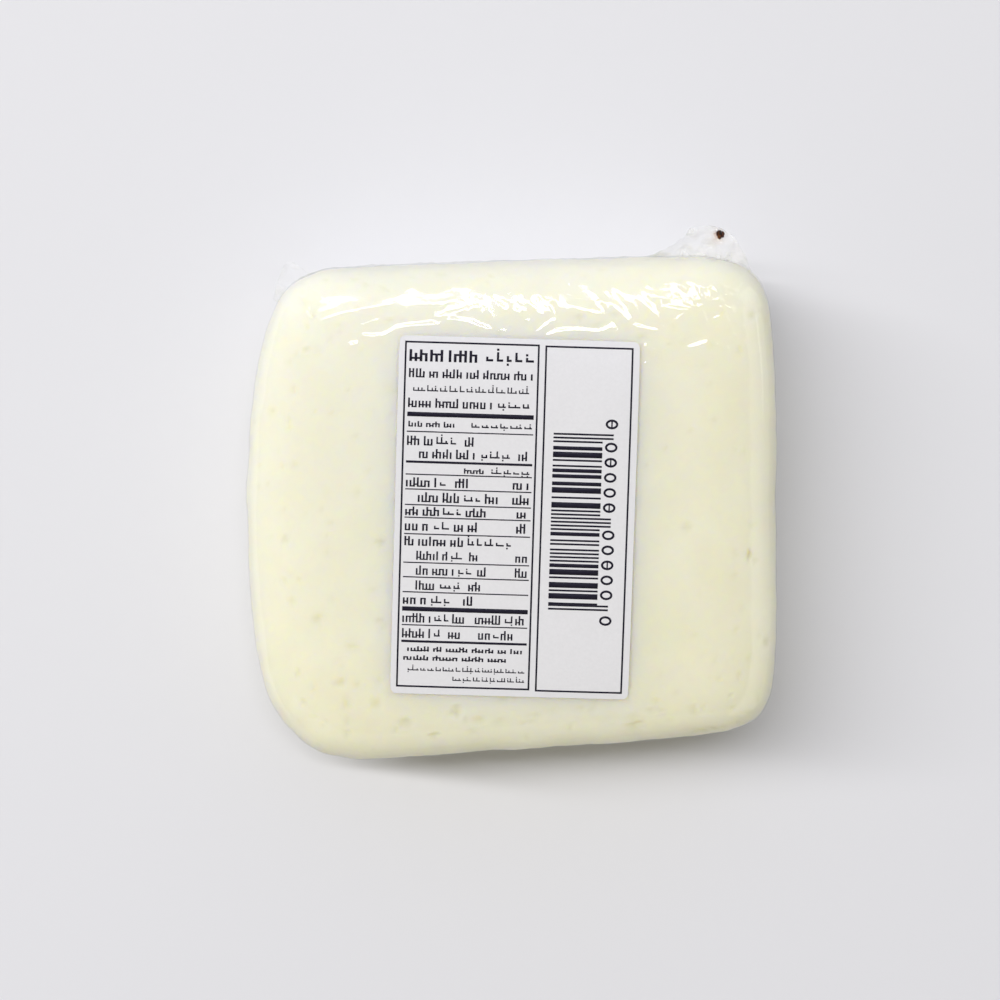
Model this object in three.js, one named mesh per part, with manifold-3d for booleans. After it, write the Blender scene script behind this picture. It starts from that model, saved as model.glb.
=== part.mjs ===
// A square block of akkawi, a white brined cheese, shut in a tight clear film bag, with a paper label
// on the film. Millimetres, +Z up. The block lies on its broad underside with the label on top: +X is
// the label's right and +Y the end that the label's first line is nearest to.
//
// The bag hugs the cheese all over, so bag and cheese are one solid out to the film's outer face. At
// two corners of the back the shrunk bag sticks out as a crumpled ear of film.
import * as THREE from "three";
import { mergeVertices } from "three/addons/utils/BufferGeometryUtils.js";
import Module from "manifold-3d";

const wasm = await Module();
wasm.setup();

// The block: half its size each way, and how far its underside has settled flat
const HALF_WIDTH = 57.8;
const HALF_DEPTH = 53.3;
const HALF_HEIGHT = 19.7;
const SETTLED = 1.5;

// How square each corner is from above: 2 would be round, and 12 is nearly sharp
const CORNERS = { backLeft: 9.2, backRight: 9.5, frontLeft: 6.1, frontRight: 11.4 };
// The corners grow softer from the sides to the broad faces, between these slopes of the direction
const FACE_CORNER = 3.6;
const SOFTEN_FROM = 0.2;
const SOFTEN_TO = 1.6;
// How square the rolled rim is along each side, and how much tighter it is under the block
const RIMS = { left: 4.4, right: 6.6, back: 3.5, front: 7.0 };
const UNDER_RIM = 1.3;

// The sides are bowed, the block narrows a little to the back, and its back and front run at a slant:
// all are shares of the half size
const LEFT_BOW = 0.119;
const RIGHT_BOW = 0.011;
const SIDE_SLANT = -0.012;
const BACK_SLANT = 0.031;
const FRONT_SLANT = -0.074;

// The cloth that the curd was pressed in leaves the faces gently uneven, in waves that start off centre
const SWELL = 0.45;
const SWELL_LENGTH = 31;
const SWELL_START = { x: 1.1, y: -0.5 };

// The label: a 2 by 3 inch sticker, and how it lies on the block
const LABEL = { width: 50.8, length: 76.2, thick: 0.3, corner: 1.3, gap: 0.3 };
const LABEL_AT = { x: 0.8, y: -1.9, turn: THREE.MathUtils.degToRad(-1.7) };

// An ear of film: where its root is sunk in the block, which way it points in degrees from +X, how far
// it reaches, its width at the root and at the tip, its pleats, and how deep they are at the tip
const EAR_THICK = 0.7;
const EARS = {
  backRight: { x: 41.6, y: 49.3, z: 15, turn: 88, reach: 12.3, root: 25, tip: 9.5, pleats: 3, depth: 1.1 },
  backLeft: { x: -44.8, y: 47.8, z: 15, turn: 125, reach: 8.6, root: 9, tip: 4, pleats: 2, depth: 0.6 },
};
// How much of its reach an ear loses between two pleats
const EAR_NOTCH = 0.07;

// Ivory cheese seen through glossy film, and white paper with a slight sheen
const FILMED_CHEESE = new THREE.MeshStandardMaterial({ color: 0xf0ecd6, roughness: 0.32 });
const LABEL_PAPER = new THREE.MeshStandardMaterial({ color: 0xe9e8ea, roughness: 0.5 });

// Grid steps across, along and up the block, across and along the label, and out and across an ear
const BLOCK_GRID = [30, 28, 12];
const LABEL_GRID = [12, 18];
const EAR_GRID = [4, 18];
// How far the block's grid lines crowd towards its rims, from 0, even, to 1
const CROWD = 0.45;

// Powers and lengths less than this count as nothing, and vertices this close are one
const TINY = 1e-9;
const SAME_PLACE = 1e-4;

// How much a point at s, t in the square from -1 to 1 belongs to each side
function shares(s, t) {
  return { left: (1 - s) / 2, right: (1 + s) / 2, back: (1 + t) / 2, front: (1 - t) / 2 };
}

// The block's surface in the direction of a point a, b, c of a cube from -1 to 1: a box whose corners
// and rims are rounded by the powers above, then bowed, slanted, swollen and settled on its base.
function blockPoint(a, b, c) {
  const widest = Math.max(Math.abs(a), Math.abs(b), TINY);
  const side = shares(a / widest, b / widest);
  const raised = THREE.MathUtils.smoothstep(Math.abs(c) / widest, SOFTEN_FROM, SOFTEN_TO);
  const corner =
    side.back * (side.left * CORNERS.backLeft + side.right * CORNERS.backRight) +
    side.front * (side.left * CORNERS.frontLeft + side.right * CORNERS.frontRight);
  const power = THREE.MathUtils.lerp(corner, FACE_CORNER, raised);
  const rimAcross = side.left * RIMS.left + side.right * RIMS.right;
  const rimAlong = side.back * RIMS.back + side.front * RIMS.front;
  const sideways = a ** 4 / Math.max(a ** 4 + b ** 4, TINY);
  const rim = THREE.MathUtils.lerp(rimAlong, rimAcross, sideways) * (c < 0 ? UNDER_RIM : 1);
  const plan = (Math.abs(a) ** power + Math.abs(b) ** power) ** (1 / power);
  const size = (plan ** rim + Math.abs(c) ** rim) ** (1 / rim);
  const [u, v, w] = [a / size, b / size, c / size];

  const at = shares(u, v);
  const bow = at.left * LEFT_BOW + at.right * RIGHT_BOW;
  const x = HALF_WIDTH * u * (1 - bow * v * v + SIDE_SLANT * v);
  const y = HALF_DEPTH * v * (1 + u * (at.back * BACK_SLANT + at.front * FRONT_SLANT));
  const wave = Math.sin(x / SWELL_LENGTH + SWELL_START.x) * Math.cos(y / SWELL_LENGTH + SWELL_START.y);
  const z = (HALF_HEIGHT + SWELL * wave) * w;
  const floor = SETTLED - HALF_HEIGHT;
  return new THREE.Vector3(x, y, Math.max(z, floor) - floor);
}

// Moves each vertex of a geometry by a function that gives its new place
function reshape(geometry, place) {
  const position = geometry.getAttribute("position");
  for (let i = 0; i < position.count; i++) {
    const p = place(position.getX(i), position.getY(i), position.getZ(i));
    position.setXYZ(i, p.x, p.y, p.z);
  }
  return geometry;
}

// A closed geometry as a solid that can be joined and cut
function toSolid(geometry) {
  const bare = geometry.clone();
  bare.deleteAttribute("normal");
  bare.deleteAttribute("uv");
  const merged = mergeVertices(bare, SAME_PLACE);
  return new wasm.Manifold(
    new wasm.Mesh({
      numProp: 3,
      vertProperties: merged.getAttribute("position").array,
      triVerts: new Uint32Array(merged.index.array),
    }),
  );
}

function toGeometry(solid) {
  const made = solid.getMesh();
  const geometry = new THREE.BufferGeometry();
  geometry.setAttribute("position", new THREE.BufferAttribute(made.vertProperties, 3));
  geometry.setIndex(new THREE.BufferAttribute(made.triVerts, 1));
  geometry.computeVertexNormals();
  return geometry;
}

// The bagged block: a cube's grid carried onto the block's surface
function blockGeometry() {
  const crowd = (s) => THREE.MathUtils.lerp(s, Math.sin((Math.PI / 2) * s), CROWD);
  const cube = new THREE.BoxGeometry(2, 2, 2, ...BLOCK_GRID);
  return reshape(cube, (a, b, c) => blockPoint(crowd(a), crowd(b), crowd(c)));
}

// A fan of pleated film that narrows from its root, with an edge cut back between the pleats. Its root
// is sunk in the block, so that the ear and the bag are one piece.
function earGeometry({ x, y, z, turn, reach, root, tip, pleats, depth }) {
  const fan = reshape(new THREE.BoxGeometry(1, 1, 1, ...EAR_GRID, 1), (p, q, side) => {
    const far = p + 0.5;
    const fold = Math.sin(2 * Math.PI * pleats * q);
    const out = reach * far * (1 - EAR_NOTCH * far * (1 - fold));
    const width = THREE.MathUtils.lerp(root, tip, far);
    return new THREE.Vector3(out, width * q, side * EAR_THICK + depth * far * fold);
  });
  fan.rotateZ(THREE.MathUtils.degToRad(turn));
  return fan.translate(x, y, z);
}

// The label: a thin plate laid on the block so that it follows its face, then cut to rounded corners
function labelGeometry(blockMesh) {
  const { width, length, thick, corner, gap } = LABEL;
  const lay = (geometry) => geometry.rotateZ(LABEL_AT.turn).translate(LABEL_AT.x, LABEL_AT.y, 0);
  const above = 3 * HALF_HEIGHT;
  const down = new THREE.Vector3(0, 0, -1);
  const plate = reshape(lay(new THREE.BoxGeometry(width, length, 1, ...LABEL_GRID, 1)), (x, y, side) => {
    const ray = new THREE.Raycaster(new THREE.Vector3(x, y, above), down);
    const face = ray.intersectObject(blockMesh)[0].point.z;
    return new THREE.Vector3(x, y, face + gap + (side > 0 ? thick : 0));
  });

  const [right, top] = [width / 2, length / 2];
  const outline = new THREE.Shape();
  outline.moveTo(corner - right, -top);
  outline.absarc(right - corner, corner - top, corner, -Math.PI / 2, 0);
  outline.absarc(right - corner, top - corner, corner, 0, Math.PI / 2);
  outline.absarc(corner - right, top - corner, corner, Math.PI / 2, Math.PI);
  outline.absarc(corner - right, corner - top, corner, Math.PI, 1.5 * Math.PI);
  const cutter = new THREE.ExtrudeGeometry(outline, { depth: above, bevelEnabled: false, curveSegments: 5 });
  return toGeometry(toSolid(plate).intersect(toSolid(lay(cutter))));
}

const blockMesh = new THREE.Mesh(blockGeometry(), FILMED_CHEESE);
let bagged = toSolid(blockMesh.geometry);
for (const ear of Object.values(EARS)) bagged = bagged.add(toSolid(earGeometry(ear)));

const pack = new THREE.Mesh(toGeometry(bagged), FILMED_CHEESE);
pack.name = "cheese_pack";
const label = new THREE.Mesh(labelGeometry(blockMesh), LABEL_PAPER);
label.name = "label";

// The origin is the middle of the base of the whole
const part = new THREE.Group();
part.add(pack, label);
const middle = new THREE.Box3().setFromObject(part).getCenter(new THREE.Vector3());
part.position.set(-middle.x, -middle.y, 0);

export default part;
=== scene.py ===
# A block of akkawi, a white brined cheese, shut in a tight clear film bag, with a printed paper label
# stuck on the film. It lies on its broad underside and is seen from above.
import math
import random

import bmesh
import bpy
from mathutils import Matrix, Vector, kdtree, noise
from mathutils.bvhtree import BVHTree


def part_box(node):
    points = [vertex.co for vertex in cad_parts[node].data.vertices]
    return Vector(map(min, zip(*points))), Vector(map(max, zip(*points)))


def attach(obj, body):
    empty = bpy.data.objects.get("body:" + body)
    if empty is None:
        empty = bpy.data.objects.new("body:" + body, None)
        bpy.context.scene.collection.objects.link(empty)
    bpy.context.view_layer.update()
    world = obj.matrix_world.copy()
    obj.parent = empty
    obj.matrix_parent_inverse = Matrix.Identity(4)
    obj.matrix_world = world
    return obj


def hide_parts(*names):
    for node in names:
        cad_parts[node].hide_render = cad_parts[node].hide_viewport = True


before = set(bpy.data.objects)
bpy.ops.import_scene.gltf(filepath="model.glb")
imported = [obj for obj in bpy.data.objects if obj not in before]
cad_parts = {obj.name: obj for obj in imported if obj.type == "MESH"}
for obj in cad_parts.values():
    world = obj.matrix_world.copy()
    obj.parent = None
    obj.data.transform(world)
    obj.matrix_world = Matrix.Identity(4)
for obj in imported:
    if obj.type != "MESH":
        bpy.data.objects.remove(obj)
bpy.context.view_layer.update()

# The cheese
# A square block of fresh curd, pressed in a cloth and brined. Its rims roll over, no two corners are
# alike, and its faces keep pits where whey and air were trapped. Lengths here are in millimetres,
# from the middle of the block's underside.
MM = 0.001
HALF_WIDTH = 57.8
HALF_DEPTH = 53.3
HALF_HEIGHT = 19.7
SETTLED = 1.5
CORNERS = {"back_left": 9.2, "back_right": 9.5, "front_left": 6.1, "front_right": 11.4}
FACE_CORNER = 3.6
SOFTEN_FROM = 0.2
SOFTEN_TO = 1.6
RIMS = {"left": 4.4, "right": 6.6, "back": 3.5, "front": 7.0}
UNDER_RIM = 1.3
LEFT_BOW = 0.119
RIGHT_BOW = 0.011
SIDE_SLANT = -0.012
BACK_SLANT = 0.031
FRONT_SLANT = -0.074
SWELL = 0.45
SWELL_LENGTH = 31
SWELL_START = (1.1, -0.5)
CROWD = 0.45
TINY = 1e-9


def mix(low, high, share):
    return low + (high - low) * share


def smooth_step(value, low, high):
    share = min(max((value - low) / (high - low), 0.0), 1.0)
    return share * share * (3 - 2 * share)


def block_point(a, b, c):
    """The block's face in the direction of a point of a cube from -1 to 1: a box with rims and
    corners rounded by powers, then bowed, slanted, swollen and settled on its base."""
    widest = max(abs(a), abs(b), TINY)
    right, back = (1 + a / widest) / 2, (1 + b / widest) / 2
    raised = smooth_step(abs(c) / widest, SOFTEN_FROM, SOFTEN_TO)
    back_corner = mix(CORNERS["back_left"], CORNERS["back_right"], right)
    front_corner = mix(CORNERS["front_left"], CORNERS["front_right"], right)
    power = mix(mix(front_corner, back_corner, back), FACE_CORNER, raised)
    rim_across = mix(RIMS["left"], RIMS["right"], right)
    rim_along = mix(RIMS["front"], RIMS["back"], back)
    sideways = a ** 4 / max(a ** 4 + b ** 4, TINY)
    rim = mix(rim_along, rim_across, sideways) * (UNDER_RIM if c < 0 else 1)
    plan = (abs(a) ** power + abs(b) ** power) ** (1 / power)
    size = (plan ** rim + abs(c) ** rim) ** (1 / rim)
    u, v, w = a / size, b / size, c / size

    bow = mix(LEFT_BOW, RIGHT_BOW, (1 + u) / 2)
    x = HALF_WIDTH * u * (1 - bow * v * v + SIDE_SLANT * v)
    y = HALF_DEPTH * v * (1 + u * ((1 + v) / 2 * BACK_SLANT + (1 - v) / 2 * FRONT_SLANT))
    wave = math.sin(x / SWELL_LENGTH + SWELL_START[0]) * math.cos(y / SWELL_LENGTH + SWELL_START[1])
    floor = SETTLED - HALF_HEIGHT
    return Vector((x, y, max((HALF_HEIGHT + SWELL * wave) * w, floor) - floor))


def cut_cube(steps):
    """A cube from -1 to 1 with its faces cut into a grid of steps across, along and up."""
    bm = bmesh.new()
    bmesh.ops.create_cube(bm, size=2)
    for axis, count in enumerate(steps):
        along = [e for e in bm.edges if abs(e.verts[0].co[axis] - e.verts[1].co[axis]) > 1]
        bmesh.ops.subdivide_edges(bm, edges=along, cuts=count - 1, use_grid_fill=True)
    return bm


def lay_on_block(bm):
    """Carries a cube's grid onto the block's face, with its lines crowded towards the rims."""
    for vert in bm.verts:
        crowded = [mix(s, math.sin(math.pi / 2 * s), CROWD) for s in vert.co]
        vert.co = block_point(*crowded)
    bm.normal_update()


def push(bm, height):
    """Moves each point out of its face by a height that depends on where it is and how it faces."""
    moves = [(vert, vert.normal * height(vert.co, vert.normal)) for vert in bm.verts]
    for vert, move in moves:
        vert.co += move
    bm.normal_update()


def wave_at(point, length, seed):
    """A smooth random wave from -1 to 1, with hills about a length apart."""
    return noise.noise(Vector((point[0], point[1], point[2])) / length + Vector((seed, seed, seed)))


def add_piece(bm, name, material):
    """Makes an object from a mesh in block millimetres, at its place in the frame in metres."""
    bmesh.ops.transform(bm, matrix=BLOCK_PLACE, verts=bm.verts[:])
    for face in bm.faces:
        face.smooth = True
    mesh = bpy.data.meshes.new(name)
    bm.to_mesh(mesh)
    bm.free()
    piece = bpy.data.objects.new(name, mesh)
    bpy.context.collection.objects.link(piece)
    mesh.materials.append(material)
    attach(piece, "root")
    return piece


def new_material(name):
    """An empty node material with its output, as (material, node maker, link maker)."""
    material = bpy.data.materials.new(name)
    material.use_nodes = True
    tree = material.node_tree
    tree.nodes.clear()

    def add(kind, **values):
        node = tree.nodes.new(kind)
        for key, value in values.items():
            if key in node.inputs:
                node.inputs[key].default_value = value
            else:
                setattr(node, key, value)
        return node

    return material, add, tree.links.new


# The film leaves this much room to the cheese
FILM_GAP = 0.12
CHEESE_STEPS = (150, 140, 44)
# Pits that show from above: x, y, radius and depth
PITS = [
    (-27.7, -7.0, 1.6, 0.44), (-27.9, -23.6, 1.2, 0.40), (-27.0, -24.8, 1.1, 0.32), (-41.2, -23.5, 1.5, 0.36),
    (-19.2, -37.0, 1.8, 0.48), (-36.2, -37.0, 1.4, 0.32), (-48.2, -6.6, 1.5, 0.32), (37.4, -3.7, 1.4, 0.32),
    (51.0, -9.8, 1.4, 0.56), (52.2, -11.0, 1.1, 0.40), (55.0, -28.8, 1.5, 0.56), (51.4, 41.2, 1.5, 0.48),
    (-44.1, 43.8, 2.0, 0.16), (-45.7, -35.3, 1.1, 0.24), (31.0, -41.2, 1.2, 0.28), (-11.4, -43.7, 1.5, 0.32),
    (-35.1, -41.8, 1.5, 0.24), (-28.8, -41.6, 1.6, 0.32), (-22.6, -45.9, 1.9, 0.32), (-11.4, -42.2, 1.1, 0.28),
    (-12.0, -43.7, 1.1, 0.24), (-1.4, -40.8, 1.5, 0.24), (-9.5, -45.1, 1.2, 0.28), (-6.8, -45.4, 1.4, 0.28),
    (-2.3, -45.4, 1.1, 0.24), (2.4, -46.1, 1.0, 0.24), (-16.4, -49.0, 1.2, 0.24), (5.4, -44.4, 1.1, 0.24),
    (15.0, -42.7, 1.2, 0.24), (17.2, -43.0, 1.1, 0.20), (29.7, -43.3, 1.1, 0.24), (32.0, -43.3, 1.0, 0.24),
    (40.0, -48.5, 0.9, 0.35), (42.0, -48.2, 0.9, 0.45), (44.0, -47.8, 0.9, 0.45), (46.0, -47.4, 0.9, 0.35),
    (39.2, -42.9, 1.2, 0.24), (26.7, -46.5, 3.2, 0.28), (35.4, -39.3, 1.1, 0.20), (-44.6, -41.6, 1.2, 0.24),
]
SMALL_PITS = 520
SMALL_PIT_RADIUS = (0.7, 1.4)
SMALL_PIT_DEPTH = (0.06, 0.26)
# Where the cheese shrinks away from the film at the sharpest corner: place, reach and depth
PULLED_CORNER = (Vector((56.0, -47.5, 19.0)), 7.0, 1.2)
# Waves that the pressing left: height on the broad faces, height round the sides, length and seed. A
# side begins and is full where the face's direction rises this much.
PRESSED_WAVES = [(0.06, 0.34, 9, 3.1), (0.03, 0.16, 3.6, 6.9)]
SIDE_RISE = (0.95, 0.5)
# The curd's own waves, which stay under the film: height, length and seed, and how far down they start
CURD_WAVES = [(0.07, 4.5, 8.4), (0.05, 1.7, 5.2)]
CURD_SUNK = 0.05
# A pit is stretched within these limits each way, and its rim is ragged by a wave of this height,
# length and seed
PIT_STRETCH = (0.75, 1.3)
PIT_RAGGED = (0.5, 0.9, 4.4)
# How many of its radii away a pit still reaches points
PIT_REACH = 1.4


def pressed(point, normal):
    """How uneven the cloth left the faces: most of all round the sides. Film and cheese share it."""
    sides = smooth_step(abs(normal.z), *SIDE_RISE)
    return sum(
        mix(on_face, round_side, sides) * wave_at(point, length, seed)
        for on_face, round_side, length, seed in PRESSED_WAVES)


def cheese_relief(point, normal):
    corner, reach, depth = PULLED_CORNER
    away = (point - corner).length / reach
    rough = sum(tall * wave_at(point, length, seed) for tall, length, seed in CURD_WAVES)
    return pressed(point, normal) + min(rough - CURD_SUNK, 0) - FILM_GAP - depth * math.exp(-away * away)


cheese_mesh = cut_cube(CHEESE_STEPS)
lay_on_block(cheese_mesh)
low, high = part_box("cheese_pack")
block_low = Vector([min(v.co[i] for v in cheese_mesh.verts) for i in range(3)])
block_high = Vector([max(v.co[i] for v in cheese_mesh.verts) for i in range(3)])
BLOCK_MIDDLE = Vector((
    (low[0] + high[0]) / 2 - MM * (block_low.x + block_high.x) / 2,
    low[1] - MM * block_low.y,
    low[2],
))
BLOCK_PLACE = Matrix.Translation(BLOCK_MIDDLE) @ Matrix.Diagonal((MM, MM, MM, 1))
push(cheese_mesh, cheese_relief)

draw = random.Random(11)
points = kdtree.KDTree(len(cheese_mesh.verts))
cheese_mesh.verts.ensure_lookup_table()
for i, vert in enumerate(cheese_mesh.verts):
    points.insert(vert.co, i)
points.balance()
cheese_face = BVHTree.FromBMesh(cheese_mesh)
pits = []
for x, y, radius, depth in PITS:
    place, _, _, _ = cheese_face.ray_cast(Vector((x, y, 3 * HALF_HEIGHT)), Vector((0, 0, -1)))
    pits.append((place, radius, depth))
for _ in range(SMALL_PITS):
    place = draw.choice(cheese_mesh.verts).co.copy()
    pits.append((place, draw.uniform(*SMALL_PIT_RADIUS), draw.uniform(*SMALL_PIT_DEPTH)))
hollow = cheese_mesh.verts.layers.float.new("hollow")
for place, radius, depth in pits:
    stretch = Vector((draw.uniform(*PIT_STRETCH), draw.uniform(*PIT_STRETCH), 1))
    ragged, *wave = PIT_RAGGED
    for _, i, _ in points.find_range(place, PIT_REACH * radius):
        vert = cheese_mesh.verts[i]
        away = ((vert.co - place) * stretch).length / radius * (1 + ragged * wave_at(vert.co, *wave))
        sunk = max(1 - away * away, 0) ** 2 * depth
        vert.co -= vert.normal * sunk
        vert[hollow] += sunk

# The curd's ivory where it is deeper and where it is paler, a painted sheen: the paler, bluer tone towards the
# back left, then the tone of the pits' floors, and how far light reaches into it: the share of each colour,
# and metres
CURD_DEEPER = (0.868, 0.842, 0.650, 1)
CURD_PALER = (0.894, 0.868, 0.700, 1)
CURD_PAINTED_SHEEN = (0.845, 0.85, 0.785, 1)
PIT_FLOOR = (0.62, 0.60, 0.36, 1)
GLOW_SHARES = (1.0, 0.84, 0.22)
GLOW_REACH = 0.014

cheese_look, add, link = new_material("akkawi_curd")
out = add("ShaderNodeOutputMaterial")
curd = add("ShaderNodeBsdfPrincipled", Roughness=0.55)
curd.inputs["Specular IOR Level"].default_value = 0.2
curd.inputs["Subsurface Weight"].default_value = 0.75
curd.inputs["Subsurface Radius"].default_value = GLOW_SHARES
curd.inputs["Subsurface Scale"].default_value = GLOW_REACH
where = add("ShaderNodeTexCoord")
clouds = add("ShaderNodeTexNoise", Scale=95.0, Detail=3.0, Roughness=0.5)
tone = add("ShaderNodeValToRGB")
tone.color_ramp.elements[0].position = 0.32
tone.color_ramp.elements[0].color = CURD_DEEPER
tone.color_ramp.elements[1].position = 0.7
tone.color_ramp.elements[1].color = CURD_PALER
# Painted sheen: the curd is painted paler and bluer towards the back left corner, in place of the film's veil
# of light there
to_back_left = add("ShaderNodeVectorMath", operation="DOT_PRODUCT")
to_back_left.inputs[1].default_value = (-0.6, 0.8, 0)
painted_sheen_share = add("ShaderNodeMapRange")
painted_sheen_share.inputs["From Min"].default_value = -0.02
painted_sheen_share.inputs["From Max"].default_value = 0.065
painted_sheen_share.inputs["To Max"].default_value = 0.6
paler = add("ShaderNodeMix", data_type="RGBA")
paler.inputs["B"].default_value = CURD_PAINTED_SHEEN
# The pits' floors turn darker and yellower the deeper they are
hollow_depth = add("ShaderNodeAttribute", attribute_name="hollow")
pit_darkening = add("ShaderNodeMapRange")
pit_darkening.inputs["From Max"].default_value = 0.5
pit_darkening.inputs["To Max"].default_value = 0.4
pit_tone = add("ShaderNodeMix", data_type="RGBA")
pit_tone.inputs["B"].default_value = PIT_FLOOR
grain = add("ShaderNodeTexNoise", Scale=900.0, Detail=4.0, Roughness=0.6)
bump = add("ShaderNodeBump", Strength=0.25, Distance=0.0002)
link(where.outputs["Object"], clouds.inputs["Vector"])
link(where.outputs["Object"], grain.inputs["Vector"])
link(clouds.outputs["Fac"], tone.inputs["Fac"])
link(hollow_depth.outputs["Fac"], pit_darkening.inputs["Value"])
link(pit_darkening.outputs["Result"], pit_tone.inputs["Factor"])
link(where.outputs["Object"], to_back_left.inputs[0])
link(to_back_left.outputs["Value"], painted_sheen_share.inputs["Value"])
link(painted_sheen_share.outputs["Result"], paler.inputs["Factor"])
link(tone.outputs["Color"], paler.inputs["A"])
link(paler.outputs["Result"], pit_tone.inputs["A"])
link(pit_tone.outputs["Result"], curd.inputs["Base Color"])
link(grain.outputs["Fac"], bump.inputs["Height"])
link(bump.outputs["Normal"], curd.inputs["Normal"])
link(curd.outputs["BSDF"], out.inputs["Surface"])

cheese = add_piece(cheese_mesh, "cheese", cheese_look)
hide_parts("cheese_pack")

# The film
# A clear shrink bag drawn tight over the cheese. Heat has gathered it in short pleats along the back
# rim and down the corners, and it lies smooth under the label. Its seal runs across the back.
FILM_STEPS = (96, 88, 30)
FINE_CUTS = 3
# The cube's stretch that is cut finer: on its top from this far back, and on its back from this far up
FINE_TOP = 0.36
FINE_BACK = 0.40
# The slope at which the rolled back rim catches the window behind it, in degrees
GLINT_SLOPE = 25.0
# Pleats on the back rim: half their width, then the points that they run through
PLEATS = [
    (1.9, (-40.2, 41.1), (-34.3, 43.0), (-30.5, 44.0)),
    (1.3, (-30.5, 43.8), (-26.5, 44.8), (-21.5, 45.7)),
    (0.9, (-20.6, 46.0), (-16.3, 45.3), (-12.3, 46.4), (-7.2, 45.7)),
    (0.8, (-14.0, 47.7), (-8.9, 47.0), (-4.8, 47.5)),
    (0.9, (-31.1, 36.9), (-26.6, 37.2), (-24.0, 38.8), (-20.6, 39.3), (-15.6, 39.6), (-12.3, 40.7)),
    (0.9, (-12.3, 40.7), (-9.1, 40.1), (-4.8, 38.6)),
    (0.6, (-31.1, 37.2), (-31.6, 39.2), (-28.3, 40.3)),
    (0.8, (-15.1, 41.3), (-7.2, 43.5)),
    (0.6, (-18.9, 44.1), (-14.0, 44.1), (-11.9, 44.9)),
    (0.6, (-5.5, 45.4), (-1.4, 42.7)),
    (0.6, (-4.4, 45.7), (-0.4, 44.8)),
    (0.5, (-5.7, 44.3), (-3.1, 39.3)),
    (0.7, (-41.2, 38.6), (-42.4, 35.6), (-44.6, 33.3)),
    (0.9, (-34.1, 35.1), (-32.3, 35.5)),
    (0.9, (-44.5, 44.1), (-43.8, 43.1)),
    (0.7, (-35.9, 40.1), (-35.1, 40.1)),
    (0.8, (-0.7, 48.5), (2.2, 48.5)),
    (0.6, (5.6, 48.7), (10.6, 47.5)),
    (0.9, (12.2, 47.7), (16.5, 46.7), (19.3, 45.1)),
    (2.0, (13.7, 44.3), (18.0, 42.9)),
    (1.1, (19.3, 44.9), (22.0, 44.1), (24.7, 40.6)),
    (0.9, (7.5, 36.8), (9.6, 37.9), (13.9, 38.3), (18.7, 37.9), (21.3, 39.0), (23.0, 37.0)),
    (0.7, (1.3, 42.4), (1.4, 38.7)),
    (0.5, (3.6, 40.2), (3.7, 38.3)),
    (0.6, (3.4, 44.6), (5.4, 43.1)),
    (0.6, (8.9, 40.3), (5.8, 37.9)),
    (0.8, (25.4, 46.0), (27.3, 45.7), (28.1, 44.1), (31.5, 40.8)),
    (0.7, (30.5, 46.0), (33.5, 45.7)),
    (0.6, (31.5, 45.3), (31.8, 43.4)),
    (0.8, (33.5, 43.1), (37.3, 42.7), (34.2, 39.1), (33.5, 42.7)),
    (0.7, (40.0, 43.3), (40.9, 40.8)),
    (0.6, (44.9, 43.1), (45.8, 40.3)),
    (0.9, (37.9, 34.6), (41.2, 35.6)),
    (0.5, (43.6, 35.2), (45.6, 34.6)),
    (0.5, (24.4, 39.3), (30.8, 38.1)),
    (0.8, (28.1, 35.0), (30.1, 33.8)),
    (0.6, (27.9, 31.2), (28.5, 31.2)),
    (0.6, (28.4, 27.6), (29.1, 27.7)),
]
# Pleats that stand up at the right rim, as above but with their height first
RIM_PLEATS = [
    (0.30, 0.45, (52.7, 50.8), (53.3, 46.6), (53.2, 42.7)),
    (0.25, 0.40, (55.3, 42.3), (55.7, 38.9)),
]
# The steepest slope of a ridge as tall as its half width, and how much steeper than needed it is made
PLEAT_STEEPEST = 0.858
PLEAT_GAIN = 1.04
# The band of crinkles along the back rim: where it rises and falls off, in y, y and distance from the
# middle
BAND_FRONT = (32, 38)
BAND_BACK = (51, 46)
BAND_ENDS = (53, 43)
# How its crinkles lean, how long and how strong they are, from left to right: a first value, then each
# stretch of x in which the value changes, and the value after it
LEAN = (0.15, ((-20, 0), 1.35), ((14, 22), 0.8))
LENGTH = (3.2, ((-20, 0), 2.2))
STRENGTH = (0.25, ((-20, -8), 1), ((24, 34), 1.4))
# Waves have a height, a length and a seed, and creases also how thin they are: those of the whole film,
# of the band, and of the sides, where they hang down
SLACK = (0.03, 7, 1.7)
BILLOW = (0.22, 1.6, 4.3)
CRINKLE = (0.08, 2.6, 9.1, 0.12)
HANGING_WAVE = (0.05, 3.0, 2.2)
HANGING_CREASE = (0.1, 6.5, 6.6, 0.05)
# The film never sinks deeper than this below where it is drawn tight
FILM_SUNK = 0.05
LABEL_SIZE = (50.8, 76.2)
LABEL_AT = (0.8, -1.9)
LABEL_TURN = math.radians(-1.7)
# The seal: its level, half its width, its height with its fine teeth's height and rate, its middle in x,
# and how far from there it falls off
SEAL_HEIGHT = 15.0
SEAL_HALF_WIDTH = 0.6
SEAL_TALL = 0.5
SEAL_TEETH = (0.1, 2.4)
SEAL_MIDDLE = -7
SEAL_ENDS = (46, 38)
# Lips of spare film round the front: height, half its width, level, and from and to in x
LIPS = [(0.9, 0.7, 21.0, 38.0, 58.0), (0.5, 0.6, 20.0, -46.0, -16.0)]
# Folds that run out from the ears' roots: where from, how far they reach, how many, and their height
EAR_ROOTS = [(Vector((46.3, 53.0, 15.0)), 15.0, 13), (Vector((-47.0, 51.0, 15.0)), 11.0, 11)]
ROOT_FOLDS = 0.22


def reach_of_stretch(x, y, start, end):
    """How far x, y is from a straight stretch."""
    run, rise = end[0] - start[0], end[1] - start[1]
    along = ((x - start[0]) * run + (y - start[1]) * rise) / max(run * run + rise * rise, TINY)
    along = min(max(along, 0.0), 1.0)
    return math.hypot(x - start[0] - along * run, y - start[1] - along * rise)


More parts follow.
